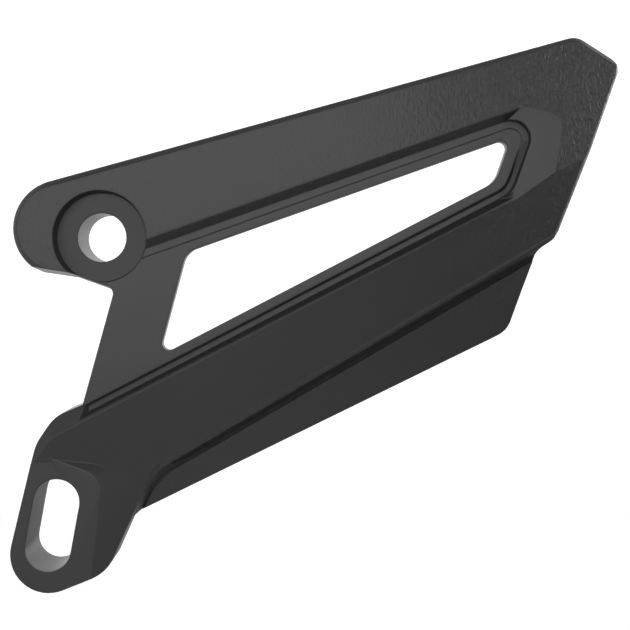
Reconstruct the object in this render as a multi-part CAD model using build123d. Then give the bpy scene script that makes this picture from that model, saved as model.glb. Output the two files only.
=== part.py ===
"""Front sprocket cover: one moulded plate with a bolt sleeve, a slotted tab and an open back.

The cover is drawn flat, as seen from the front: x to the right, y up, z towards the viewer.
z is 0 on the engine side, and the bolt hole's axis runs through x = 0, y = 0.
It is stood upright at the end, so that its front looks along -Y and its top along +Z.
Lengths are in millimetres. A depth is measured from the front face down towards the engine.
A straight edge is given by its angle from the x axis in degrees and its distance from the bolt hole's axis,
counted positive when the edge lies on the upper left side of the axis.
"""
from build123d import *
import math
import os

# Bolt sleeve and counterbore
HOLE_R = 6.0
SEAT_THICKNESS = 11.4
SEAT_R = 11.0
COUNTERBORE_DEPTH = 3.0
COUNTERBORE_DRAFT_ANGLE = 8.0
SLEEVE_R = 9.5
SEAT_RIM = 2.4

# Moulded walls
SKIN = 2.6
WALL = 2.6
SKIRT_BACK = 13.4
RIB = 2.0

# Upper bar
END_X = -9.5
END_Y = 2.2
END_R = 11.9
TOP_ANGLE = 15.4
NOSE_CUT_ANGLE = -32.8
NOSE_CUT_DISTANCE = 104.6
RIGHT_EDGE_ANGLE = 70.5
RIGHT_EDGE_DISTANCE = -105.9
END_UNDERSIDE_ANGLE = -19.9
END_UNDERSIDE_DISTANCE = -10.7
END_FLAT_ANGLE = -8.5
END_FLAT_DISTANCE = -9.6
END_DRAFT_ANGLE = 7.0
TOP_CORNER_R = 4.5
NOSE_R = 3.6
TOP_BEVEL = 1.3
RIGHT_BEVEL = 0.6

# Lower bar, with a front face that leans down from a crease
CREASE_ANGLE = 25.2
CREASE_DISTANCE = -33.0
LEAN_ANGLE = 12.0
JOG_EDGE_ANGLE = 33.5
JOG_EDGE_DISTANCE = -62.0
JOG_R = 7.0
JOG_INNER_R = 5.0
CORNER_TOP_ANGLE = 23.0
CORNER_TOP_DISTANCE = -36.1
CORNER_SIDE_ANGLE = 55.5
CORNER_SIDE_DISTANCE = -15.4
CORNER_R = 8.0
FACET_FALL_ANGLE = 25.0
CORNER_FACET_ANGLE = 55.3
CORNER_FACET_DISTANCE = -18.0
CORNER_FACET_FALL_ANGLE = 28.0
LOWER_RIGHT_BEVEL = 1.3
LOWER_RIGHT_FALL_ANGLE = 45.0
LEDGE_ANGLE = -3.5
LEDGE_DISTANCE = -55.9
LEDGE_END_X = -9.0
BEVEL_LOW_Y = -9.5

# Strip below the lower bar
STRIP_RIGHT_ANGLE = 71.9
STRIP_RIGHT_DISTANCE = -103.6
STRIP_BOTTOM_ANGLE = 26.1
STRIP_BOTTOM_DISTANCE = -65.6
STRIP_TOP_ANGLE = 30.3
STRIP_TOP_DISTANCE = -59.0
STRIP_END_ANGLE = 64.0
STRIP_END_DISTANCE = -38.2
CHANNEL_END_ANGLE = 70.0
CHANNEL_END_DISTANCE = -31.8
CHANNEL_SIDE_ANGLE = 68.0
CHANNEL_SIDE_DISTANCE = -32.6
STRIP_CORNER_R = 5.9
STRIP_SHOULDER_R = 18.0
CHANNEL_SHOULDER_R = 16.0
STRIP_DROP = 2.1
CHANNEL_STEP = 0.4
CHANNEL_FLOOR = 1.1
CHANNEL_WALL = 1.8
CHANNEL_EASE = 0.25
CHANNEL_EASE_RUN = 0.6
CHANNEL_EXIT_R = 5.3

# Tab with the adjusting slot
SLOT_X = -12.2
SLOT_Y = -71.0
SLOT_ANGLE = 79.7
SLOT_WIDTH = 11.3
SLOT_TRAVEL = 11.7
TAB_DEPTH = 2.5
TAB_LEFT_ANGLE = 76.6
TAB_LEFT_DISTANCE = 4.1
TAB_BOTTOM_ANGLE = 21.7
TAB_BOTTOM_DISTANCE = -77.3
TAB_RIGHT_ANGLE = 66.0
TAB_RIGHT_DISTANCE = -34.7
TAB_END_R = 9.5
TAB_CORNER_R = 8.5
FLANK_EDGE_ANGLE = 83.4
FLANK_EDGE_DISTANCE = -7.0
FLANK_TOP_ANGLE = -20.0
FLANK_TOP_DISTANCE = -55.3
FLANK_R = 6.0
FLANK_FALL_ANGLE = 18.0
FLANK_TOP_FALL_ANGLE = 28.0
BOSS_WALL = 3.4

# Strut and triangular window
STRUT_LEFT_ANGLE = 74.6
STRUT_LEFT_DISTANCE = -6.4
STRUT_R = 2.2
WINDOW_TOP_ANGLE = 19.5
WINDOW_TOP_DISTANCE = -10.4
WINDOW_RIGHT_ANGLE = 70.9
WINDOW_RIGHT_DISTANCE = -87.3
WINDOW_BOTTOM_ANGLE = 27.4
WINDOW_BOTTOM_DISTANCE = -32.5
WINDOW_LEFT_ANGLE = 75.0
WINDOW_LEFT_DISTANCE = -21.1
WINDOW_R_UPPER_LEFT = 5.1
WINDOW_R_UPPER_RIGHT = 1.6
WINDOW_R_LOWER_RIGHT = 6.4
WINDOW_R_LOWER_LEFT = 1.7
FRAME_SKIN = 3.0

# Bands round the window
OUTER_BAND_DEPTH = 2.3
INNER_BAND_DEPTH = 2.6
GROOVE_DEPTH = 3.4
INNER_BAND = 2.3
OUTER_BAND = 1.8
RIGHT_INNER_BAND = 2.7
BAR_SLOPE_RUN = 1.9
BAR_SLOPE_END_X = 99.5
BAND_R = 4.6
BAND_LOW_R = 6.0
GROOVE_RAMP_TOP = 24.0
GROOVE_RAMP_END = 17.0
GROOVE_END_ANGLE = 40.0
LOWER_WALL_RUN = 1.6
GROOVE_WALL_RUN = 0.5

# Scoop beside the window's right end
SCOOP_TIP_X = 103.0
SCOOP_BACK = 12.0
SCOOP_DEPTH = 0.4
SCOOP_LOWER_REACH = 2.0
SCOOP_UPPER_X = 113.4
SCOOP_UPPER_Y = 29.6
SCOOP_LOWER_X = 110.9
SCOOP_LOWER_Y = 15.0
SCOOP_FOOT_UPPER_X = 104.6
SCOOP_FOOT_UPPER_Y = 25.0
SCOOP_FOOT_LOWER_X = 102.3
SCOOP_FOOT_LOWER_Y = 14.4
SCOOP_R = 4.0

# Hollow back: where its walls stand beside the front's edges
BAR_SKIRT = 1.3
FRAME_SKIRT = 0.4
CHANNEL_SKIRT = 5.4
TAB_POCKET_DEPTH = 8.2
RIB_REACH = 40.0
UPPER_RIBS_X = (34.0, 62.0, 90.0)
LOWER_RIBS_X = (18.0, 46.0, 74.0)

# Cutters reach past what they cut
OVERCUT = 1.0
SAME = 0.01
REACH = 400.0
FRONT = SEAT_THICKNESS + COUNTERBORE_DEPTH


def height(depth):
    """Returns the z of a depth below the front face."""
    return FRONT - depth


def shifted(edge, distance):
    """Returns the parallel edge a distance further to the upper left."""
    return (edge[0], edge[1] + distance)


def meet(first, second):
    """Returns the point where two edges cross."""
    a = math.radians(first[0])
    b = math.radians(second[0])
    det = math.sin(b - a)
    x = (first[1] * math.cos(b) - second[1] * math.cos(a)) / det
    y = (first[1] * math.sin(b) - second[1] * math.sin(a)) / det
    return (x, y)


def at_x(edge, x):
    """Returns the edge's point at an x."""
    angle = math.radians(edge[0])
    return (x, (edge[1] + x * math.sin(angle)) / math.cos(angle))


def rounded(points, radii):
    """Returns the face inside a polygon, with one radius for each corner."""
    return make_face(FilletPolyline(*points, radius=radii, close=True))


def quad(low_left, low_right, high_right, high_left):
    """Returns the face inside four corners."""
    return rounded([low_left, low_right, high_right, high_left], [0, 0, 0, 0])


def block(face, low, high):
    """Returns the straight block over a face between two heights."""
    return extrude(Pos(0, 0, low) * face, amount=high - low)


def leaning(depth):
    """Returns the plane of the lower bar's front face, moved down by a depth."""
    turn = math.radians(CREASE[0])
    lean = math.radians(LEAN_ANGLE)
    normal = (math.sin(lean) * math.sin(turn), -math.sin(lean) * math.cos(turn), math.cos(lean))
    x, y = at_x(CREASE, 0)
    return Plane(origin=(x, y, height(depth)), x_dir=(math.cos(turn), math.sin(turn), 0), z_dir=normal)


def onto(plane, point):
    """Returns the place on a plane straight above or below a point of the flat drawing."""
    x, y = point
    start = plane.origin
    normal = plane.z_dir
    z = start.Z - (normal.X * (x - start.X) + normal.Y * (y - start.Y)) / normal.Z
    return Vector(x, y, z)


def on_plane(plane, points):
    """Drops points of the flat drawing straight onto a plane and returns them in its coordinates."""
    dropped = [plane.to_local_coords(onto(plane, point)) for point in points]
    return [(place.X, place.Y) for place in dropped]


def above(plane):
    """Returns everything on the front side of a plane."""
    return extrude(plane * Rectangle(REACH, REACH), amount=REACH / 4)


def slope_cut(edge, x_range, run, depth):
    """Returns the wedge over a wall that climbs by a depth while it runs to the lower right of an edge."""
    start = at_x(edge, x_range[0])
    end = at_x(edge, x_range[1])
    angle = math.radians(edge[0])
    plane = Plane(
        origin=(start[0], start[1], height(depth)),
        x_dir=(-math.sin(angle), math.cos(angle), 0),
        z_dir=(math.cos(angle), math.sin(angle), 0),
    )
    rise = depth + OVERCUT
    reach = run * rise / depth
    triangle = Polyline((0, 0), (-reach, rise), (0, rise), close=True)
    return extrude(plane * make_face(triangle), amount=math.dist(start, end))


NOSE_CUT = (NOSE_CUT_ANGLE, NOSE_CUT_DISTANCE)
RIGHT_EDGE = (RIGHT_EDGE_ANGLE, RIGHT_EDGE_DISTANCE)
END_UNDERSIDE = (END_UNDERSIDE_ANGLE, END_UNDERSIDE_DISTANCE)
END_FLAT = (END_FLAT_ANGLE, END_FLAT_DISTANCE)
CREASE = (CREASE_ANGLE, CREASE_DISTANCE)
JOG_EDGE = (JOG_EDGE_ANGLE, JOG_EDGE_DISTANCE)
CORNER_TOP = (CORNER_TOP_ANGLE, CORNER_TOP_DISTANCE)
CORNER_SIDE = (CORNER_SIDE_ANGLE, CORNER_SIDE_DISTANCE)
CORNER_FACET = (CORNER_FACET_ANGLE, CORNER_FACET_DISTANCE)
LEDGE = (LEDGE_ANGLE, LEDGE_DISTANCE)
STRIP_RIGHT = (STRIP_RIGHT_ANGLE, STRIP_RIGHT_DISTANCE)
STRIP_BOTTOM = (STRIP_BOTTOM_ANGLE, STRIP_BOTTOM_DISTANCE)
STRIP_TOP = (STRIP_TOP_ANGLE, STRIP_TOP_DISTANCE)
STRIP_END = (STRIP_END_ANGLE, STRIP_END_DISTANCE)
CHANNEL_END = (CHANNEL_END_ANGLE, CHANNEL_END_DISTANCE)
CHANNEL_SIDE = (CHANNEL_SIDE_ANGLE, CHANNEL_SIDE_DISTANCE)
TAB_LEFT = (TAB_LEFT_ANGLE, TAB_LEFT_DISTANCE)
TAB_BOTTOM = (TAB_BOTTOM_ANGLE, TAB_BOTTOM_DISTANCE)
TAB_RIGHT = (TAB_RIGHT_ANGLE, TAB_RIGHT_DISTANCE)
FLANK_EDGE = (FLANK_EDGE_ANGLE, FLANK_EDGE_DISTANCE)
FLANK_TOP = (FLANK_TOP_ANGLE, FLANK_TOP_DISTANCE)
STRUT_LEFT = (STRUT_LEFT_ANGLE, STRUT_LEFT_DISTANCE)
WINDOW_TOP = (WINDOW_TOP_ANGLE, WINDOW_TOP_DISTANCE)
WINDOW_RIGHT = (WINDOW_RIGHT_ANGLE, WINDOW_RIGHT_DISTANCE)
WINDOW_BOTTOM = (WINDOW_BOTTOM_ANGLE, WINDOW_BOTTOM_DISTANCE)
WINDOW_LEFT = (WINDOW_LEFT_ANGLE, WINDOW_LEFT_DISTANCE)
TOP_OFFSET = -END_X * math.sin(math.radians(TOP_ANGLE)) + END_Y * math.cos(math.radians(TOP_ANGLE)) + END_R
TOP_EDGE = (TOP_ANGLE, TOP_OFFSET)
STEP_EDGE = shifted(WINDOW_TOP, INNER_BAND)
SLOPE_FOOT = shifted(STEP_EDGE, OUTER_BAND)
BAR_LOWER_EDGE = shifted(SLOPE_FOOT, BAR_SLOPE_RUN)
BAND_RIGHT = shifted(WINDOW_RIGHT, -RIGHT_INNER_BAND)
FRAME_RIGHT = shifted(BAND_RIGHT, -OUTER_BAND)
GROOVE_INNER = shifted(WINDOW_BOTTOM, -INNER_BAND)
GROOVE_OUTER = shifted(GROOVE_INNER, -OUTER_BAND)
LOWER_TOP_EDGE = shifted(GROOVE_OUTER, -LOWER_WALL_RUN)


def below(edge, low):
    """Returns a face that reaches from an edge down to a y, across the whole cover."""
    left = -REACH / 4
    right = REACH / 2
    return quad((left, low), (right, low), at_x(edge, right), at_x(edge, left))


def round_end():
    """Returns the face of the round end, which is cut flat underneath."""
    return Pos(END_X, END_Y) * Circle(END_R) - below(END_FLAT, -REACH / 4)


def outline(right_edge):
    """Returns the whole front view's outline, up to a right edge."""
    points = [
        meet(TOP_EDGE, NOSE_CUT),
        meet(NOSE_CUT, right_edge),
        meet(right_edge, JOG_EDGE),
        meet(JOG_EDGE, STRIP_RIGHT),
        meet(STRIP_RIGHT, STRIP_BOTTOM),
        meet(STRIP_BOTTOM, TAB_RIGHT),
        meet(TAB_RIGHT, TAB_BOTTOM),
        meet(TAB_BOTTOM, TAB_LEFT),
        meet(TAB_LEFT, CORNER_SIDE),
        meet(CORNER_SIDE, CORNER_TOP),
        meet(CORNER_TOP, STRUT_LEFT),
        meet(STRUT_LEFT, END_UNDERSIDE),
        meet(END_UNDERSIDE, END_FLAT),
        (END_X, END_Y),
        at_x(TOP_EDGE, END_X - END_R * math.sin(math.radians(TOP_ANGLE))),
    ]
    radii = [
        TOP_CORNER_R,
        NOSE_R,
        JOG_R,
        JOG_INNER_R,
        STRIP_CORNER_R,
        CHANNEL_EXIT_R,
        TAB_CORNER_R,
        TAB_END_R,
        CORNER_R,
        CORNER_R,
        0,
        STRUT_R,
        0,
        0,
        0,
    ]
    return rounded(points, radii) + round_end()


def inset_outline():
    """Returns the outline moved in by one wall."""
    return offset(outline(RIGHT_EDGE), amount=-WALL, kind=Kind.INTERSECTION)


def off_edge(edge, point):
    """Returns how far a point lies from an edge, to its upper left."""
    angle = math.radians(edge[0])
    return -point.X * math.sin(angle) + point.Y * math.cos(angle) - edge[1]


def bevelled(face, bevel):
    """Returns the block over a face, with a bevel along its front edge from the round end to the nose."""
    body = block(face, height(SKIRT_BACK), FRONT)
    front = body.edges().filter_by_position(Axis.Z, FRONT - SAME, FRONT + SAME)
    return chamfer(front.filter_by(lambda e: abs(off_edge(TOP_EDGE, e @ 0.5)) < SAME), bevel)


def moulding():
    """Returns the outer block, with a wide bevel along its top and a narrow one down its right edge."""
    widened = shifted(RIGHT_EDGE, -2 * TOP_BEVEL)
    right = bevelled(outline(RIGHT_EDGE), RIGHT_BEVEL)
    top = bevelled(outline(widened), TOP_BEVEL)
    return (right & top) + end_skirt()


def end_skirt():
    """Returns the wall behind the round end, which widens towards the engine."""
    foot = quad((END_X, END_Y), meet(END_UNDERSIDE, END_FLAT), meet(END_UNDERSIDE, STRUT_LEFT), (SEAT_R, 0))
    face = round_end() + foot
    start = height(TOP_BEVEL)
    skirt = extrude(Pos(0, 0, start) * face, amount=-(start - height(SKIRT_BACK)), taper=-END_DRAFT_ANGLE)
    return skirt & block(below(TOP_EDGE, -REACH / 4), 0, FRONT)


def slot(grow):
    """Returns the slot's face, grown on all sides."""
    slot_face = SlotCenterToCenter(SLOT_TRAVEL, SLOT_WIDTH + 2 * grow, rotation=SLOT_ANGLE)
    return Pos(SLOT_X, SLOT_Y) * slot_face


def flank_face(right_grow, top_grow):
    """Returns the tab's flat face, grown on its right and upper sides."""
    left = -2 * END_R
    right = shifted(FLANK_EDGE, -right_grow)
    top = shifted(FLANK_TOP, top_grow)
    low = (0.0, SLOT_Y - 3 * SLOT_WIDTH)
    points = [at_x(top, left), meet(top, right), meet(right, low), (left, low[1])]
    return rounded(points, [0, FLANK_R + top_grow, 0, 0])


def tab():
    """Returns the tab: a flat face whose right side falls away in a shallow flank."""
    low = height(SKIRT_BACK)
    fall = height(TAB_DEPTH) - low
    right_spread = fall / math.tan(math.radians(FLANK_FALL_ANGLE))
    top_spread = fall / math.tan(math.radians(FLANK_TOP_FALL_ANGLE))
    foot = Pos(0, 0, low) * flank_face(right_spread, top_spread)
    form = loft([foot, Pos(0, 0, low + fall) * flank_face(0, 0)], ruled=True)
    whole = outline(RIGHT_EDGE)
    boss = block(slot(BOSS_WALL) & whole, 0, height(TAB_DEPTH))
    return (form & block(whole, low, FRONT)) + boss


def window():
    """Returns the triangular window's face."""
    points = [
        meet(WINDOW_TOP, WINDOW_LEFT),
        meet(WINDOW_TOP, WINDOW_RIGHT),
        meet(WINDOW_RIGHT, WINDOW_BOTTOM),
        meet(WINDOW_BOTTOM, WINDOW_LEFT),
    ]
    radii = [WINDOW_R_UPPER_LEFT, WINDOW_R_UPPER_RIGHT, WINDOW_R_LOWER_RIGHT, WINDOW_R_LOWER_LEFT]
    return rounded(points, radii)


def band_face(top, right, low, upper_r, low_r):
    """Returns the face of the recess between a top, a right and a lower edge, open across the strut."""
    corner_x = meet(CORNER_TOP, STRUT_LEFT)[0]
    points = [
        at_x(top, 0),
        meet(top, right),
        meet(right, low),
        at_x(low, corner_x),
        (corner_x, -2 * SEAT_R),
        (-STRUT_R, -SEAT_R - STRUT_R),
        (0, -HOLE_R),
    ]
    return rounded(points, [0, upper_r, low_r, 0, 0, 0, 0])


def groove_core(grow):
    """Returns the face of what stands inside the groove, grown towards it."""
    left = -2 * SEAT_R
    right = shifted(BAND_RIGHT, -grow)
    low = shifted(GROOVE_INNER, -grow)
    corners = [at_x(SLOPE_FOOT, left), meet(SLOPE_FOOT, right), meet(right, low), at_x(low, left)]
    return rounded(corners, [0, 0, BAND_LOW_R + grow, 0])


def groove(frame):
    """Returns the groove between the inner band and the lower bar, which fades out up the right end."""
    left = -2 * SEAT_R
    side = quad(
        at_x(GROOVE_OUTER, left),
        meet(GROOVE_OUTER, FRAME_RIGHT),
        meet(STEP_EDGE, FRAME_RIGHT),
        at_x(STEP_EDGE, left),
    )
    foot = Pos(0, 0, height(GROOVE_DEPTH)) * groove_core(GROOVE_WALL_RUN)
    core = loft([foot, Pos(0, 0, height(INNER_BAND_DEPTH)) * groove_core(0)], ruled=True)
    start = height(OUTER_BAND_DEPTH)
    ramp = math.degrees(math.atan2(GROOVE_DEPTH - OUTER_BAND_DEPTH, GROOVE_RAMP_TOP - GROOVE_RAMP_END))
    ramp_plane = Plane(origin=(0, GROOVE_RAMP_TOP, start)).rotated((ramp, 0, 0))
    cut = block(frame & side, height(GROOVE_DEPTH), start) - core
    exit_x = meet(CORNER_TOP, STRUT_LEFT)[0]
    return cut & above(ramp_plane) & end_ramp(exit_x, OUTER_BAND_DEPTH, GROOVE_END_ANGLE)


def end_ramp(x, depth, angle):
    """Returns what lies above a plane that passes a depth at an x and falls to its right by an angle."""
    return above(Plane(origin=(x, 0, height(depth))).rotated((0, angle, 0)))


def lower_wall():
    """Returns what is cut over the lower bar's wall along the groove, with a fine bevel along its crest."""
    start = meet(CORNER_TOP, STRUT_LEFT)[0]
    end = meet(FRAME_RIGHT, GROOVE_OUTER)[0]
    wedge = slope_cut(GROOVE_OUTER, (start - OVERCUT, end), LOWER_WALL_RUN, GROOVE_DEPTH)
    wedge = wedge & end_ramp(start, OUTER_BAND_DEPTH, GROOVE_END_ANGLE)
    crest = quad(
        at_x(LOWER_TOP_EDGE, start),
        at_x(LOWER_TOP_EDGE, end),
        at_x(GROOVE_OUTER, end),
        at_x(GROOVE_OUTER, start),
    )
    bevel = slope_from(LOWER_TOP_EDGE, FACET_FALL_ANGLE) & block(crest, 0, FRONT)
    return (wedge + bevel) & end_ramp(end, SCOOP_DEPTH, -GROOVE_END_ANGLE)


def recess():
    """Returns what is cut from the front round the window, down to the strut."""
    frame = band_face(SLOPE_FOOT, FRAME_RIGHT, GROOVE_OUTER, BAND_R, BAND_LOW_R)
    inner = band_face(STEP_EDGE, BAND_RIGHT, GROOVE_INNER, BAND_R - OUTER_BAND, BAND_LOW_R)
    top = FRONT + OVERCUT
    cut = block(frame, height(OUTER_BAND_DEPTH), top)
    cut += block(inner, height(INNER_BAND_DEPTH), top)
    cut += groove(frame)
    foot_end = at_x(SLOPE_FOOT, BAR_SLOPE_END_X)
    tip = at_x(BAR_LOWER_EDGE, SCOOP_TIP_X)
    sloped = quad(at_x(SLOPE_FOOT, 0), foot_end, tip, at_x(BAR_LOWER_EDGE, 0))
    slope = slope_cut(SLOPE_FOOT, (0, SCOOP_TIP_X), -BAR_SLOPE_RUN, OUTER_BAND_DEPTH)
    cut += slope & block(sloped, 0, top)
    return cut + lower_wall()


def scoop():
    """Returns the shallow smooth dish between the frame's right end and the front faces."""
    start_x = SCOOP_TIP_X - SCOOP_BACK
    low_edge = shifted(LOWER_TOP_EDGE, -SCOOP_LOWER_REACH)
    lower_start = (SCOOP_LOWER_X, at_x(low_edge, SCOOP_LOWER_X)[1])
    upper = [
        at_x(BAR_LOWER_EDGE, start_x),
        at_x(BAR_LOWER_EDGE, SCOOP_TIP_X),
        (SCOOP_UPPER_X, SCOOP_UPPER_Y),
        (SCOOP_LOWER_X, SCOOP_LOWER_Y),
        lower_start,
        at_x(low_edge, start_x),
    ]
    lower = [
        at_x(SLOPE_FOOT, start_x),
        at_x(SLOPE_FOOT, BAR_SLOPE_END_X),
        (SCOOP_FOOT_UPPER_X, SCOOP_FOOT_UPPER_Y),
        (SCOOP_FOOT_LOWER_X, SCOOP_FOOT_LOWER_Y),
        at_x(low_edge, SCOOP_FOOT_LOWER_X),
        at_x(low_edge, start_x),
    ]
    foot = Pos(0, 0, height(SCOOP_DEPTH)) * rounded(lower, [0, 0, SCOOP_R, 0, 0, 0])
    return loft([foot, Pos(0, 0, FRONT) * rounded(upper, [0, 0, SCOOP_R, 0, 0, 0])], ruled=True)


def slope_from(edge, slope):
    """Returns what lies above a slope that falls to the upper left of an edge on the leaning face."""
    face = leaning(0)
    start = onto(face, at_x(edge, 0))
    along = onto(face, at_x(edge, SEAT_R)) - start
    angle = math.radians(edge[0])
    across = Vector(-math.sin(angle), math.cos(angle), -math.tan(math.radians(slope)))
    return above(Plane(origin=start, x_dir=along, z_dir=along.cross(across)))


def facets():
    """Returns what is cut from the lower bar's upper left corner and from its right edge."""
    corner_x, corner_y = meet(CORNER_TOP, STRUT_LEFT)
    side = Pos(corner_x - 2 * SEAT_R, corner_y) * Rectangle(4 * SEAT_R, 4 * SEAT_R)
    corner = slope_from(LOWER_TOP_EDGE, FACET_FALL_ANGLE) + slope_from(CORNER_FACET, CORNER_FACET_FALL_ANGLE)
    bevel_edge = shifted(RIGHT_EDGE, LOWER_RIGHT_BEVEL)
    right = slope_from(bevel_edge, -LOWER_RIGHT_FALL_ANGLE)
    left = SCOOP_TIP_X
    far = REACH / 2
    right_side = quad((left, BEVEL_LOW_Y), (far, BEVEL_LOW_Y), at_x(CREASE, far), at_x(CREASE, left))
    return (corner & block(side, 0, FRONT)) + (right & block(right_side, 0, FRONT))


def channel_face(plane, top, end, shoulder):
    """Returns the face on a leaning plane below a top line and to the right of an end line."""
    far = shifted(STRIP_BOTTOM, -OVERCUT)
    beyond = (90.0, -REACH / 3)
    corners = [meet(beyond, top), meet(top, end), meet(end, far), meet(beyond, far)]
    return plane * rounded(on_plane(plane, corners), [0, shoulder, 0, 0])


def channel():
    """Returns what is cut over the strip: the channel under the lower bar and the strip's own drop."""
    drop = STRIP_DROP + CHANNEL_STEP
    floor = leaning(drop)
    foot_top = shifted(STRIP_TOP, CHANNEL_FLOOR)
    wall_draft = math.degrees(math.atan2(CHANNEL_WALL, drop - CHANNEL_EASE))
    ease_draft = math.degrees(math.atan2(CHANNEL_EASE_RUN, CHANNEL_EASE))
    wall_face = channel_face(floor, foot_top, CHANNEL_END, CHANNEL_SHOULDER_R)
    wall = extrude(wall_face, amount=FRONT / 2, taper=-wall_draft)
    ease_top = shifted(foot_top, CHANNEL_WALL)
    ease_end = shifted(CHANNEL_END, CHANNEL_WALL)
    ease_face = channel_face(leaning(CHANNEL_EASE), ease_top, ease_end, CHANNEL_SHOULDER_R + CHANNEL_WALL)
    ease = extrude(ease_face, amount=FRONT / 4, taper=-ease_draft)
    strip = extrude(channel_face(floor, STRIP_TOP, STRIP_END, STRIP_SHOULDER_R), amount=CHANNEL_STEP)
    low = shifted(STRIP_BOTTOM, -OVERCUT)
    far = REACH / 2
    top = BAR_LOWER_EDGE
    reach = quad(meet(CHANNEL_SIDE, low), at_x(low, far), at_x(top, far), meet(CHANNEL_SIDE, top))
    return (wall - strip + ease) & block(reach, 0, FRONT + OVERCUT)


def front_form():
    """Returns the cover's outer form before its back is hollowed."""
    body = moulding()
    body -= above(leaning(0))
    body += tab()
    body -= channel()
    left = -2 * END_R
    ledge = quad((left, SLOT_Y), (LEDGE_END_X, SLOT_Y), at_x(LEDGE, LEDGE_END_X), at_x(LEDGE, left))
    body -= block(ledge, height(TAB_DEPTH), FRONT + OVERCUT)
    body -= facets()
    body -= recess()
    body -= scoop()
    return body


def seat(radius, low, high):
    """Returns a round block on the bolt hole's axis."""
    return block(Circle(radius), low, high)


def openings():
    """Returns the bolt hole with its counterbore, the slot and the window."""
    cut = seat(HOLE_R, -OVERCUT, FRONT)
    bore = Pos(0, 0, height(COUNTERBORE_DEPTH)) * Circle(SEAT_R)
    cut += extrude(bore, amount=COUNTERBORE_DEPTH + OVERCUT, taper=-COUNTERBORE_DRAFT_ANGLE)
    cut += block(slot(0), -OVERCUT, FRONT + OVERCUT)
    cut += block(window(), -OVERCUT, FRONT + OVERCUT)
    return cut


def ribs(edge, places):
    """Returns thin upright walls across a bar, at some places along it."""
    walls = Part()
    for x in places:
        middle = Pos(*at_x(edge, x)) * Rot(0, 0, edge[0]) * Rectangle(RIB, RIB_REACH)
        walls += block(middle, 0, FRONT)
    return walls


def hollows():
    """Returns the pockets that are open to the engine side."""
    inside = inset_outline()
    far = REACH / 2
    deep = -REACH / 4
    top_skirt = shifted(BAR_LOWER_EDGE, BAR_SKIRT)
    frame_top = shifted(top_skirt, -WALL)
    frame_low = shifted(GROOVE_OUTER, FRAME_SKIRT)
    frame_right = shifted(FRAME_RIGHT, -FRAME_SKIRT)
    strut = shifted(STRUT_LEFT, -WALL)
    nose_left = shifted(frame_right, -WALL)
    lower_top = shifted(frame_low, -WALL)
    lower_low = shifted(STRIP_TOP, CHANNEL_SKIRT)
    lower_end = shifted(STRIP_END, CHANNEL_SKIRT)
    strip_low = shifted(lower_low, -RIB)
    strip_end = shifted(lower_end, -RIB - CHANNEL_WALL)

    pockets = block(inside - below(top_skirt, deep), 0, height(SKIN)) - ribs(TOP_EDGE, UPPER_RIBS_X)

    frame = quad(
        meet(frame_low, strut),
        meet(frame_low, frame_right),
        meet(frame_right, frame_top),
        meet(frame_top, strut),
    )
    pockets += block(frame, 0, height(INNER_BAND_DEPTH + FRAME_SKIN))

    nose = quad(
        meet(frame_low, nose_left),
        at_x(frame_low, far),
        at_x(frame_top, far),
        meet(frame_top, nose_left),
    )
    pockets += block(nose & inside, 0, height(OUTER_BAND_DEPTH + SKIN))

    bar_corners = [
        at_x(lower_top, meet(CORNER_TOP, STRUT_LEFT)[0]),
        at_x(lower_top, far),
        at_x(lower_low, far),
        meet(lower_low, lower_end),
        at_x(lower_end, 0),
    ]
    bar = rounded(bar_corners, [0, 0, 0, STRIP_SHOULDER_R, 0])
    pockets += block(bar & inside, 0, FRONT) - above(leaning(SKIN)) - ribs(lower_top, LOWER_RIBS_X)

    strip_corners = [meet(strip_low, strip_end), at_x(strip_low, far), (far, deep), at_x(strip_end, deep / 2)]
    strip = rounded(strip_corners, [STRIP_SHOULDER_R, 0, 0, 0])
    strip_ceiling = leaning(STRIP_DROP + CHANNEL_STEP + SKIN)
    pockets += block(strip & inside, 0, FRONT) - above(strip_ceiling) - ribs(lower_top, LOWER_RIBS_X)

    flank_top = SLOT_Y + SLOT_TRAVEL / 2
    flank = quad((SLOT_X, deep), (SLOT_X - deep, deep), (SLOT_X - deep, flank_top), (SLOT_X, flank_top))
    flank = (flank & inside) - slot(BOSS_WALL) - rounded(strip_corners, [0, 0, 0, 0])
    pockets += block(flank, 0, height(TAB_POCKET_DEPTH))

    core = seat(SLEEVE_R, 0, FRONT) + seat(SEAT_R + SEAT_RIM, height(COUNTERBORE_DEPTH + SKIN), FRONT)
    return pockets - core


def sprocket_cover():
    """Returns the finished cover, lying flat with its front up."""
    body = front_form() + seat(SLEEVE_R, 0, height(COUNTERBORE_DEPTH + SKIN))
    return body - hollows() - openings()


os.makedirs("parts", exist_ok=True)
upright = Rot(90, 0, 0) * sprocket_cover()
export_step(upright, "parts/sprocket_cover.step")
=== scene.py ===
# %% [markdown]
# # A moulded sprocket cover for a motorbike
# This lesson dresses one plastic moulding that has already been drawn as a solid.
# The solid comes in as a fixed frame, in metres: the bolt hole's axis runs through the origin,
# the front looks along -Y and the top along +Z.
# The steps add the camera, the softened moulding, its grain, its plastic, the lamps and the floor.

# %% Load the frame
import bpy
import bmesh
import math
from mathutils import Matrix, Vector
from mathutils.geometry import intersect_point_line


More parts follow.
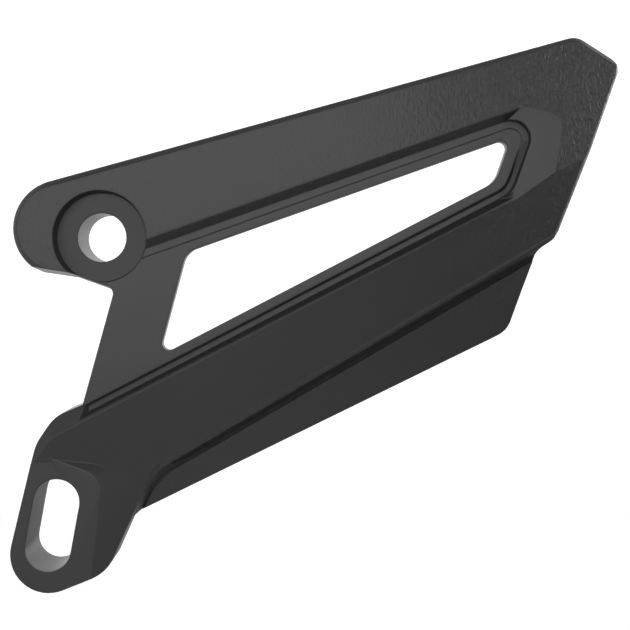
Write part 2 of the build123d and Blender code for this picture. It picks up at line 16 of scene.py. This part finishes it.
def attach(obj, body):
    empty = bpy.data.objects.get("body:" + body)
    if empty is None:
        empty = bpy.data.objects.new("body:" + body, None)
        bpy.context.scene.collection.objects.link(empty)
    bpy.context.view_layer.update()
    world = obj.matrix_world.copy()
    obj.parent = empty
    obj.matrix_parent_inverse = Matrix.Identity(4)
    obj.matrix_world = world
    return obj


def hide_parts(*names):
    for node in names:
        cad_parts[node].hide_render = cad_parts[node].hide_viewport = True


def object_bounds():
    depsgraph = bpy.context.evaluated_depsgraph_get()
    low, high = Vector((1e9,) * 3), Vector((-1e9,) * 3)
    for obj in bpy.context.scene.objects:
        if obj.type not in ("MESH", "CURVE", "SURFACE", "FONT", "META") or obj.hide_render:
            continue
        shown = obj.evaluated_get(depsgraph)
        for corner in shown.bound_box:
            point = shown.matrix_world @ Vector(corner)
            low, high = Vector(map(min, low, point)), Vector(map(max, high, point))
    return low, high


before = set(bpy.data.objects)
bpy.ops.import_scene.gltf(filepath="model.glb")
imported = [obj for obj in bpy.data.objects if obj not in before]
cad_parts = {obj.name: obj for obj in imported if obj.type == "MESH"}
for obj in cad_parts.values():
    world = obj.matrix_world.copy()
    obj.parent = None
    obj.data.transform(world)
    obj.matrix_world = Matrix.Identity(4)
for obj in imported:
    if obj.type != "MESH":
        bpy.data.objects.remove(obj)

MM = 0.001
cad_low, cad_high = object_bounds()
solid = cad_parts["sprocket_cover"]
cad_size = [round(side / MM, 1) for side in cad_high - cad_low]
print("solid:", len(solid.data.vertices), "corners,", cad_size, "mm")

# %% [markdown]
# ## The camera
# The picture was taken from straight in front, so near that the walls inside the holes show.
# How much of them shows gives the distance: 213 mm in front of the front face, for a 50 mm lens
# on a 36 mm sensor. The lens doesn't point at the picture's middle, so a small shift of the
# sensor moves the frame. Turning the camera instead would make the upright walls lean,
# which they don't do in the picture.

# %% Set the camera
PICTURE = 630
LENS_POINT = (307.6, 269.3)
LENS_X, LENS_Z = 50.78 * MM, -7.825 * MM
FRONT_Y = -14.4 * MM
DISTANCE = 213 * MM
LENS = 50
SENSOR = 36

camera_data = bpy.data.cameras.new("camera")
camera_data.lens = LENS
camera_data.sensor_width = SENSOR
camera_data.shift_x = (PICTURE / 2 - LENS_POINT[0]) / PICTURE
camera_data.shift_y = -(PICTURE / 2 - LENS_POINT[1]) / PICTURE
camera = bpy.data.objects.new("camera", camera_data)
camera.location = (LENS_X, FRONT_Y - DISTANCE, LENS_Z)
camera.rotation_euler = (math.radians(90), 0, 0)
bpy.context.scene.collection.objects.link(camera)
bpy.context.scene.camera = camera
print("camera shift:", round(camera_data.shift_x, 4), round(camera_data.shift_y, 4))

# %% [markdown]
# ## A moulding with softened edges
# A mould is cut with small round tools, so no edge of a moulded part is a perfect knife edge.
# Each one catches a thin line of light. A bevel in the mesh gives that line from every side,
# where a trick in the shader would leave the outline sharp.
#
# Two parts of the outline have a wider bevel than the rest: the round end and the lower bar's
# right side. The round end's edge lies on a circle, so its distance from the end's middle finds it.
# The right side's edge is straight. A plane halfway between its two faces cuts it off,
# as a file would.

# %% The round end's wide bevel
END_MIDDLE = Vector((-9.5 * MM, 0, 2.2 * MM))
END_RADIUS = 11.9 * MM
END_BEVEL = 0.6 * MM
ON_LINE = 0.03 * MM
STEEP = math.radians(50)


def bend(edge):
    """Returns the angle by which the surface turns at an edge."""
    return edge.calc_face_angle(0.0) if edge.is_manifold else 0.0


def on_round_end(corner):
    """Tells whether a corner lies on the front outline of the round end."""
    way = Vector((corner.x - END_MIDDLE.x, 0, corner.z - END_MIDDLE.z))
    return abs(corner.y - FRONT_Y) < ON_LINE and abs(way.length - END_RADIUS) < ON_LINE


def bevel_round_end(mesh):
    """Bevels the edge between the round end's front and its side."""
    steep = [edge for edge in mesh.edges if bend(edge) > STEEP]
    bmesh.ops.bevel(
        mesh,
        geom=[edge for edge in steep if all(on_round_end(v.co) for v in edge.verts)],
        offset=END_BEVEL,
        segments=2,
        profile=0.5,
        affect="EDGES",
        clamp_overlap=True,
    )


print("the round end reaches to x =", round((END_MIDDLE.x - END_RADIUS) / MM, 1), "mm")

# %% The right side's bevel
LEAN = math.radians(12)
CREASE_SLANT = math.radians(25.2)
RIGHT_SLANT = math.radians(70.5)
LEAN_NORMAL = Vector((
    math.sin(LEAN) * math.sin(CREASE_SLANT),
    -math.cos(LEAN),
    -math.sin(LEAN) * math.cos(CREASE_SLANT),
))
RIGHT_NORMAL = Vector((math.sin(RIGHT_SLANT), 0, -math.cos(RIGHT_SLANT)))
RIGHT_CORNER = Vector((113.13 * MM, -11.6 * MM, 2.22 * MM))
RIGHT_BEVEL_DEPTH = 0.55 * MM
ON_CUT = 0.001 * MM


def trim_right_side(mesh):
    """Cuts the lower bar's right edge off with a plane, and closes the cut."""
    way = (LEAN_NORMAL + RIGHT_NORMAL).normalized()
    bmesh.ops.bisect_plane(
        mesh,
        geom=list(mesh.verts) + list(mesh.edges) + list(mesh.faces),
        dist=ON_CUT,
        plane_co=RIGHT_CORNER - way * RIGHT_BEVEL_DEPTH,
        plane_no=way,
        clear_outer=True,
    )
    rim = [edge for edge in mesh.edges if edge.is_boundary]
    bmesh.ops.holes_fill(mesh, edges=rim, sides=0)


between_faces = math.degrees(LEAN_NORMAL.angle(RIGHT_NORMAL))
print("the right side turns by", round(between_faces), "degrees from the leaning front")

# %% [markdown]
# The solid's flat faces arrive as many triangles, so they are first joined into whole faces.
# The bevel then only meets the edges that a hand would feel.
# Where the groove round the window runs out, the solid ends in thin blades whose two sides
# almost touch. No bevel fits there, so every edge that ends at a blade stays sharp.

# %% Copy the solid and join its flat faces
FLAT = math.radians(0.6)
SAME_PLACE = 0.002 * MM


def joined():
    """Returns a copy of the solid whose flat faces are whole, with the outline's wide bevels."""
    mesh = bmesh.new()
    mesh.from_mesh(solid.data)
    bmesh.ops.remove_doubles(mesh, verts=mesh.verts, dist=SAME_PLACE)
    trim_right_side(mesh)
    bmesh.ops.dissolve_limit(mesh, angle_limit=FLAT, verts=mesh.verts, edges=mesh.edges)
    bevel_round_end(mesh)
    mesh.edges.index_update()
    mesh.edges.ensure_lookup_table()
    return mesh


plain = joined()
print("joined", len(solid.data.polygons), "triangles into", len(plain.faces), "faces")

# %% Find the edges that a hand would feel
FELT = math.radians(20)
BLADE = math.radians(120)

blade_corners = {v for edge in plain.edges if bend(edge) >= BLADE for v in edge.verts}
felt = {
    edge.index
    for edge in plain.edges
    if FELT < bend(edge) < BLADE and not blade_corners.intersection(edge.verts)
}
blades = [corner.co.copy() for corner in blade_corners]
plain.free()
print("edges that are felt:", len(felt), "- corners of blades:", len(blades))

# %% [markdown]
# Some edges are low and still crisp: those between two wide faces, and those round the large
# outer faces. They are marked before the bevel cuts them up. The outer faces lie on two known
# planes, the front and the lower bar's leaning face, so a face's normal tells which it is.

# %% Tell which low edges are crisp
CREASE = math.radians(4)
WIDE = 12 * MM**2
FRONT_NORMAL = Vector((0, -1, 0))
SAME_WAY = math.cos(math.radians(1.5))
ON_FRONT = 0.02 * MM


def is_grained(face):
    """Tells whether a face lies on the front or on the lower bar's leaning plane."""
    faces_front = face.normal.dot(FRONT_NORMAL) > SAME_WAY
    on_front = faces_front and face.calc_center_median().y < FRONT_Y + ON_FRONT
    return on_front or face.normal.dot(LEAN_NORMAL) > SAME_WAY


def is_crisp(edge):
    """Tells whether an edge looks sharp although the surface turns only a little there."""
    wide = all(face.calc_area() > WIDE for face in edge.link_faces)
    outer = any(is_grained(face) for face in edge.link_faces)
    return bend(edge) > CREASE and (wide or outer)


print("low edges are crisp above", round(math.degrees(CREASE)), "degrees")

# %% Bevel the chosen edges
EDGE_ROUND = 0.18 * MM


def softened(chosen):
    """Returns a copy in triangles, with the chosen edges bevelled and its creases marked."""
    mesh = joined()
    for edge in mesh.edges:
        edge.smooth = edge.index in chosen or not (is_crisp(edge) or bend(edge) > FELT)
    bmesh.ops.bevel(
        mesh,
        geom=[mesh.edges[number] for number in sorted(chosen)],
        offset=EDGE_ROUND,
        offset_type="OFFSET",
        segments=2,
        profile=0.5,
        affect="EDGES",
        clamp_overlap=False,
        loop_slide=True,
    )
    bmesh.ops.triangulate(mesh, faces=mesh.faces, ngon_method="EAR_CLIP")
    return mesh


mould = softened(felt)
print("first try:", len(mould.faces), "triangles")

# %% [markdown]
# Where two edges run closer together than their bevels are wide, the mesh folds over itself.
# Guessing those places by rule is hard. It is easier to bevel a copy, look for the folds,
# leave the edges beside them sharp, and bevel a fresh copy, until there is no new fold
# or six turns are done.

# %% Look for folds, and leave out the edges beside them
FOLDED = math.radians(165)
BLADE_REACH = 1.0 * MM
BESIDE = 1.2 * EDGE_ROUND
TURNS = 6


def folds(mesh):
    """Returns the corners of folded edges that aren't at one of the solid's own blades."""
    corners = [v.co.copy() for edge in mesh.edges if bend(edge) > FOLDED for v in edge.verts]
    return [c for c in corners if all((c - blade).length > BLADE_REACH for blade in blades)]


def passes(edge, corners):
    """Tells whether an edge passes any of the corners closely."""
    start, end = (v.co for v in edge.verts)
    for corner in corners:
        share = intersect_point_line(corner, start, end)[1]
        nearest = start.lerp(end, min(1.0, max(0.0, share)))
        if (corner - nearest).length < BESIDE:
            return True
    return False


for turn in range(TURNS):
    folded = folds(mould)
    if not folded:
        break
    plain = joined()
    felt = {number for number in felt if not passes(plain.edges[number], folded)}
    plain.free()
    mould.free()
    mould = softened(felt)
print("softened", len(felt), "edges in", turn + 1, "turns;", len(mould.faces), "triangles")

# %% [markdown]
# ## Where the grain and the painted shade are
# The large outer faces carry a fine leather grain, etched into the mould.
# The recess round the window, the scoop, the strut and the tab are left smooth.
# The bolt's seat in its counterbore, the channel over the strip and the tab's flank get painted
# shade, most where the flank's faces look up: they are darkened and made a little rougher.
# Each face is asked what it is, and its answer is kept in the mesh
# as a number that the plastic's shader can read.

# %% Tell how much painted shade a face gets
# The seat, the channel and the flank are darkened as painted shade: shade in the counterbore, the
# shadow of the channel's wall, and shade on the flank's upward faces.
SEAT_RADIUS = 10.95 * MM
SEAT_SHADE_AND_MATT = 0.13
CHANNEL_WALL = Vector((0.443, -0.449, -0.776))
CHANNEL_FLOOR = 18.7 * MM
CHANNEL_SHADE_AND_MATT = 0.6
FLANK_LEFT, FLANK_RIGHT, FLANK_TOP = -12 * MM, 14 * MM, -53 * MM
FLANK_TURNED = (-0.99, -0.8)
FLANK_SHADE_AND_MATT = 0.21
UPWARD_SHADE_AND_MATT = 0.45


def shade_and_matt_share(face, middle, flat, leaning):
    """Returns how much painted shade a face gets, which also makes it a little rougher."""
    if flat and math.hypot(middle.x, middle.z) < SEAT_RADIUS:
        return SEAT_SHADE_AND_MATT
    on_floor = leaning and middle.dot(LEAN_NORMAL) < CHANNEL_FLOOR
    if on_floor or face.normal.dot(CHANNEL_WALL) > SAME_WAY:
        return CHANNEL_SHADE_AND_MATT
    beside_tab = FLANK_LEFT < middle.x < FLANK_RIGHT and middle.z < FLANK_TOP
    turned = FLANK_TURNED[0] < face.normal.y < FLANK_TURNED[1] and face.normal.x > 0
    if beside_tab and turned and not leaning:
        return FLANK_SHADE_AND_MATT + UPWARD_SHADE_AND_MATT * max(0.0, face.normal.z)
    return 0.0


print("the channel is", round(CHANNEL_SHADE_AND_MATT / SEAT_SHADE_AND_MATT, 1), "times as matt as the bolt's seat")

# %% Mark what each face is
LIGHT_GRAIN = 0.45
NOSE_LEFT = 100 * MM
NOSE_BEVEL_RIGHTWARD = 0.3
NOSE_BEVEL_TURNED = (-0.85, -0.5)


def marks(face):
    """Returns how grained a face is, how much painted shade it gets, and whether it leans as the
    lower bar does.
    """
    middle = face.calc_center_median()
    flat = face.normal.dot(FRONT_NORMAL) > SAME_WAY
    leaning = face.normal.dot(LEAN_NORMAL) > SAME_WAY
    turned = NOSE_BEVEL_TURNED[0] < face.normal.y < NOSE_BEVEL_TURNED[1]
    bevelled = middle.x > NOSE_LEFT and face.normal.x > NOSE_BEVEL_RIGHTWARD and turned
    return {
        "grain": 1.0 if flat and is_grained(face) else LIGHT_GRAIN * (leaning or bevelled),
        "shade_and_matt": shade_and_matt_share(face, middle, flat, leaning),
        "leaning": float(leaning),
    }


# Each face's painted shade goes into the mesh beside its grain.
layers = {name: mould.loops.layers.float.new(name) for name in ("grain", "shade_and_matt", "leaning")}
areas = dict.fromkeys(layers, 0.0)
for face in mould.faces:
    for name, value in marks(face).items():
        areas[name] += value * face.calc_area() / MM**2
        for loop in face.loops:
            loop[layers[name]] = value
print("square mm:", {name: round(area) for name, area in areas.items()})

# %% [markdown]
# ## The piece that stands for the solid
# The finished mesh becomes one piece, which hides the solid and rides where it rides.
# Wide faces beside narrow bevels would look bent, because a corner's shading is an average.
# Counting each face by its size keeps the wide faces flat.

# %% Make the piece
SMOOTH_BELOW = math.radians(38)

for edge in mould.edges:
    edge.smooth = edge.smooth and bend(edge) < SMOOTH_BELOW
for face in mould.faces:
    face.smooth = True
mesh = bpy.data.meshes.new("cover_moulding")
mould.to_mesh(mesh)
mould.free()
cover = bpy.data.objects.new("cover_moulding", mesh)
bpy.context.scene.collection.objects.link(cover)
weighted = cover.modifiers.new("even shading", "WEIGHTED_NORMAL")
weighted.keep_sharp = True
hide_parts("sprocket_cover")
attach(cover, "root")
print("cover:", len(mesh.polygons), "triangles")

# %% [markdown]
# ## Writing shaders as sums
# A material is a set of small machines joined by wires. Placing them one by one hides the idea,
# so one small class stands for a wire. Wires can be added and multiplied like numbers,
# and each sum places its own Math machine. Any other machine comes from one method.

# %% A wire that can be used in sums
class Wire:
    """One output of a material's machines."""

    def __init__(self, tree, socket=None):
        self.tree = tree
        self.socket = socket

    def node(self, kind, settings=None, inputs=None, out=0):
        """Places a machine, sets it, joins its inputs and returns one of its outputs."""
        machine = self.tree.nodes.new(kind)
        for name, value in (settings or {}).items():
            setattr(machine, name, value)
        for name, value in (inputs or {}).items():
            target = machine.inputs[name]
            if isinstance(value, Wire):
                self.tree.links.new(value.socket, target)
            else:
                target.default_value = value
        return Wire(self.tree, machine.outputs[out])

    def calculate(self, operation, first, second):
        """Places a Math machine for two values."""
        return self.node("ShaderNodeMath", {"operation": operation}, {0: first, 1: second})

    def __add__(self, other):
        return self.calculate("ADD", self, other)

    __radd__ = __add__

    def __sub__(self, other):
        return self.calculate("SUBTRACT", self, other)

    def __rsub__(self, other):
        return self.calculate("SUBTRACT", other, self)

    def __mul__(self, other):
        return self.calculate("MULTIPLY", self, other)

    __rmul__ = __mul__

    def between(self, low, high):
        """Rises smoothly from 0 at low to 1 at high."""
        return self.node(
            "ShaderNodeMapRange",
            {"interpolation_type": "SMOOTHSTEP"},
            {"Value": self, "From Min": low, "From Max": high},
        )


print("wires can be added, subtracted and multiplied")

# %% Start and finish a set of machines
OUTPUTS = {"OUTPUT_MATERIAL", "OUTPUT_WORLD"}


def cleared(tree):
    """Takes every machine but the output out of a tree, and returns a wire to start from."""
    for machine in list(tree.nodes):
        if machine.type not in OUTPUTS:
            tree.nodes.remove(machine)
    return Wire(tree)


def new_material(name):
    """Returns a material with only its output, and a wire to start from."""
    material = bpy.data.materials.new(name)
    material.use_nodes = True
    return material, cleared(material.node_tree)


def finish_surface(start, shader):
    """Joins a shader to the output."""
    output = next(machine for machine in start.tree.nodes if machine.type in OUTPUTS)
    start.tree.links.new(shader.socket, output.inputs["Surface"])


plastic, start = new_material("black_plastic")
print("plastic starts with", len(start.tree.nodes), "machine")

# %% [markdown]
# ## Black moulded plastic
# The cover's plastic is coloured through, so it is a dark grey rather than a deep black.
# Its grain is a net of small bumps, a little over half a millimetre wide and drawn out upright
# into short streaks. Cells bent by a little noise, with finer noise on them, look less regular
# than either would alone. The grain is faint at the left and grows deeper to the right.
# It breaks the light up, so the grained faces are also a little rougher and darker.
# The smooth faces still have the faint ripple of a polished mould, and a slow cloudiness
# varies the tone and the gloss a little everywhere.

# %% Where the plastic is grained, how deep, and where shade is painted
GRAIN_GROWS = (0.06, 0.12)
GRAIN_AT_LEFT = 0.15
# The lower bar's painted shade grows from its left end to its right.
LEAN_SHADE_GROWS = (0.02, 0.11)
LEAN_SHADE_AT_LEFT = 0.06
LEAN_SHADE_GAIN = 0.29

place = start.node("ShaderNodeTexCoord", out="Object")
across = start.node("ShaderNodeSeparateXYZ", inputs={"Vector": place}, out="X")
grain = start.node("ShaderNodeAttribute", {"attribute_name": "grain"}, out="Fac")
shade_and_matt = start.node("ShaderNodeAttribute", {"attribute_name": "shade_and_matt"}, out="Fac")
leaning = start.node("ShaderNodeAttribute", {"attribute_name": "leaning"}, out="Fac")
deep = grain * (GRAIN_AT_LEFT + (1 - GRAIN_AT_LEFT) * across.between(*GRAIN_GROWS))
# Painted shade: the marked places, and the lower bar's leaning faces more and more to the right,
# are darkened and mirror less.
painted_shade = shade_and_matt + leaning * (LEAN_SHADE_AT_LEFT + LEAN_SHADE_GAIN * across.between(*LEAN_SHADE_GROWS))
print("the grain is deepest right of x =", round(GRAIN_GROWS[1] / MM), "mm")

# %% The patterns
UPRIGHT = (1.0, 1.0, 0.45)
BENT_BY = 0.7 * MM
BENDING = {"Scale": 700.0, "Detail": 1.0}
CELLS = {"Scale": 1500.0}
FINE = {"Scale": 2400.0, "Detail": 2.0}
RIPPLE = {"Scale": 120.0, "Detail": 3.0}
CLOUD = {"Scale": 28.0, "Detail": 4.0}

stretched = start.node("ShaderNodeVectorMath", {"operation": "MULTIPLY"}, {0: place, 1: UPRIGHT})
bending = start.node("ShaderNodeTexNoise", inputs={"Vector": place, **BENDING}, out="Color")
streaks = start.node(
    "ShaderNodeVectorMath",
    {"operation": "MULTIPLY_ADD"},
    {0: bending, 1: (BENT_BY, BENT_BY, BENT_BY), 2: stretched},
)
cells = start.node(
    "ShaderNodeTexVoronoi",
    {"feature": "SMOOTH_F1"},
    {"Vector": streaks, **CELLS},
    out="Distance",
)
fine = start.node("ShaderNodeTexNoise", inputs={"Vector": streaks, **FINE}, out="Fac")
ripple = start.node("ShaderNodeTexNoise", inputs={"Vector": place, **RIPPLE}, out="Fac")
cloud = start.node("ShaderNodeTexNoise", inputs={"Vector": place, **CLOUD}, out="Fac")
print("the cells are about", round(1 / (CELLS["Scale"] * MM), 1), "mm wide")

# %% The relief
RELIEF_HEIGHT = 0.45 * MM
SHADED_ROUND = 0.4 * MM
CELL_RELIEF, FINE_RELIEF, RIPPLE_RELIEF = 0.9, 0.9, 0.02

worn_edge = start.node("ShaderNodeBevel", {"samples": 6}, {"Radius": SHADED_ROUND}, out="Normal")
bumps = deep * (cells * CELL_RELIEF + fine * FINE_RELIEF) + ripple * RIPPLE_RELIEF
relief = start.node(
    "ShaderNodeBump",
    inputs={"Strength": 1.0, "Distance": RELIEF_HEIGHT, "Height": bumps, "Normal": worn_edge},
    out="Normal",
)
print("relief: up to", round(RELIEF_HEIGHT / MM, 2), "mm")

# %% [markdown]
# The lower bar and the marked places get painted shade: their colour is darkened,
# and they are mixed towards a copy of the plastic that hardly mirrors, so less of the room shows in
# them.
# So the plastic is two shaders, one that mirrors as plastic does and one that hardly mirrors,
# and the painted shade says how much of each a place gets. The hidden solid gets the same plastic.

# %% The plastic
DARK, LIGHT = (0.010, 0.010, 0.0105, 1), (0.026, 0.026, 0.027, 1)
TONE, GRAIN_SHADE, SPECKLE, CLOUD_TONE = 0.6, 0.2, 0.8, 0.1
ROUGH, GRAIN_ROUGH, MATT_ROUGH, CLOUD_ROUGH = 0.42, 0.03, 0.2, 0.06
NOISE_MIDDLE = 0.5
PLASTIC_IOR = 1.49
SHADED_MIRROR = 0.1

speckle = deep * (fine - NOISE_MIDDLE)
cloudy = cloud - NOISE_MIDDLE
# The painted shade darkens the colour.
tone = TONE - painted_shade - deep * GRAIN_SHADE + speckle * SPECKLE + cloudy * CLOUD_TONE
colour = start.node(
    "ShaderNodeMix",
    {"data_type": "RGBA"},
    {"Factor": tone, "A": DARK, "B": LIGHT},
    out="Result",
)
roughness = ROUGH + deep * GRAIN_ROUGH + shade_and_matt * MATT_ROUGH + cloudy * CLOUD_ROUGH
surface = {"Base Color": colour, "Roughness": roughness, "Normal": relief, "IOR": PLASTIC_IOR}
satin = start.node("ShaderNodeBsdfPrincipled", inputs=surface)
# A shaded copy of the plastic that hardly mirrors, mixed in where shade is painted.
shaded_plastic = start.node(
    "ShaderNodeBsdfPrincipled",
    inputs={**surface, "Specular IOR Level": SHADED_MIRROR},
)
blend = start.node("ShaderNodeMixShader", inputs={0: painted_shade, 1: satin, 2: shaded_plastic})
finish_surface(start, blend)
cover.data.materials.append(plastic)
solid.data.materials.clear()
solid.data.materials.append(plastic)
print("plastic:", len(start.tree.nodes), "machines")

# %% [markdown]
# ## The light
# The picture was lit by large soft lights in front and to the left, in a white room.
# Faces that look that way are grey, and the lower bar, which leans down, is darker.
# A weaker lamp high up lights the faces that look up.
# The walls inside the hole and the slot are seen at a low angle and mirror the white room.
# The bevels on the right look away from all of these. A lamp on the right, a little behind
# the cover, lights them and little else.

# %% Lamps
LAMP_WIDTH = math.radians(50)
LAMPS = {
    "soft_front": ((0, 0), 1.35),
    "soft_left": ((-20, 0), 0.4),
    "far_left": ((-45, 0), 0.8),
    "soft_above": ((20, 60), 0.4),
    "behind_right": ((100, 0), 6.0),
}


def lamp(name, toward, strength):
    """Adds a soft light, as even as the sun, from a direction in degrees round and up."""
    data = bpy.data.lights.new(name, "SUN")
    data.energy = strength
    data.angle = LAMP_WIDTH
    item = bpy.data.objects.new(name, data)
    around, up = (math.radians(angle) for angle in toward)
    level = math.cos(up)
    way = Vector((math.sin(around) * level, -math.cos(around) * level, math.sin(up)))
    item.rotation_euler = way.to_track_quat("Z", "Y").to_euler()
    bpy.context.scene.collection.objects.link(item)


for name, (toward, strength) in LAMPS.items():
    lamp(name, toward, strength)

# %% The white room
ROOM_LIGHT = 0.25
WHITE = (1, 1, 1, 1)

world = bpy.data.worlds.new("white_room")
bpy.context.scene.world = world
world.use_nodes = True
room = cleared(world.node_tree)
seen = room.node("ShaderNodeLightPath", out="Is Camera Ray")
strength = seen * (1 - ROOM_LIGHT) + ROOM_LIGHT
room_light = room.node("ShaderNodeBackground", inputs={"Color": WHITE, "Strength": strength})
finish_surface(room, room_light)
print("the room lights the cover with", ROOM_LIGHT, "of what the camera sees")

# %% [markdown]
# ## Floor and backdrop
# The cover hangs in front of a white sheet, well above a pale floor. Both are simple planes.
# They look white to the camera, and the backdrop looks white in mirror images too.
# They add no more light than that, so the plastic keeps its own tone from every side.

# %% A white sheet
PALE = (0.8, 0.8, 0.8, 1)
CAMERA_GLOW = 0.45


def sheet_plane(name, centre, across, up):
    """Adds a flat rectangle from its centre and its two half sides."""
    centre, across, up = Vector(centre), Vector(across), Vector(up)
    data = bpy.data.meshes.new(name)
    below, above = centre - up, centre + up
    corners = [below - across, below + across, above + across, above - across]
    data.from_pydata(corners, [], [(0, 1, 2, 3)])
    item = bpy.data.objects.new(name, data)
    bpy.context.scene.collection.objects.link(item)
    return item


def white_sheet(name, in_mirrors):
    """Returns a pale material that glows for the camera, and for mirror images as much as told."""
    material, begin = new_material(name)
    camera_ray = begin.node("ShaderNodeLightPath", out="Is Camera Ray")
    mirror_ray = begin.node("ShaderNodeLightPath", out="Is Glossy Ray")
    glow = camera_ray * CAMERA_GLOW + mirror_ray * in_mirrors
    pale = begin.node("ShaderNodeBsdfDiffuse", inputs={"Color": PALE})
    shine = begin.node("ShaderNodeEmission", inputs={"Color": WHITE, "Strength": glow})
    finish_surface(begin, begin.node("ShaderNodeAddShader", inputs={0: pale, 1: shine}))
    return material


print("a sheet glows for the camera by", CAMERA_GLOW)

# %% Hang the backdrop over the floor
STAGE_X = 0.05
FLOOR_Z, FLOOR_HALF = -0.32, 6
BACKDROP_Y, BACKDROP_HALF_WIDTH, BACKDROP_HALF_HEIGHT = 0.9, 2, 1

floor = sheet_plane("floor", (STAGE_X, 0, FLOOR_Z), (FLOOR_HALF, 0, 0), (0, FLOOR_HALF, 0))
floor.data.materials.append(white_sheet("pale_floor", 0.0))
backdrop = sheet_plane(
    "backdrop",
    (STAGE_X, BACKDROP_Y, FLOOR_Z + BACKDROP_HALF_HEIGHT),
    (BACKDROP_HALF_WIDTH, 0, 0),
    (0, 0, BACKDROP_HALF_HEIGHT),
)
backdrop.data.materials.append(white_sheet("white_backdrop", 1.0))
print("floor at", round(FLOOR_Z / MM), "mm")

# %% [markdown]
# ## Size and finish
# The dressed cover is meant to keep the solid's size; the solid's box was printed when it was
# loaded. Last, the colours are shown plainly.

# %% Finish
bpy.context.scene.view_settings.view_transform = "Standard"
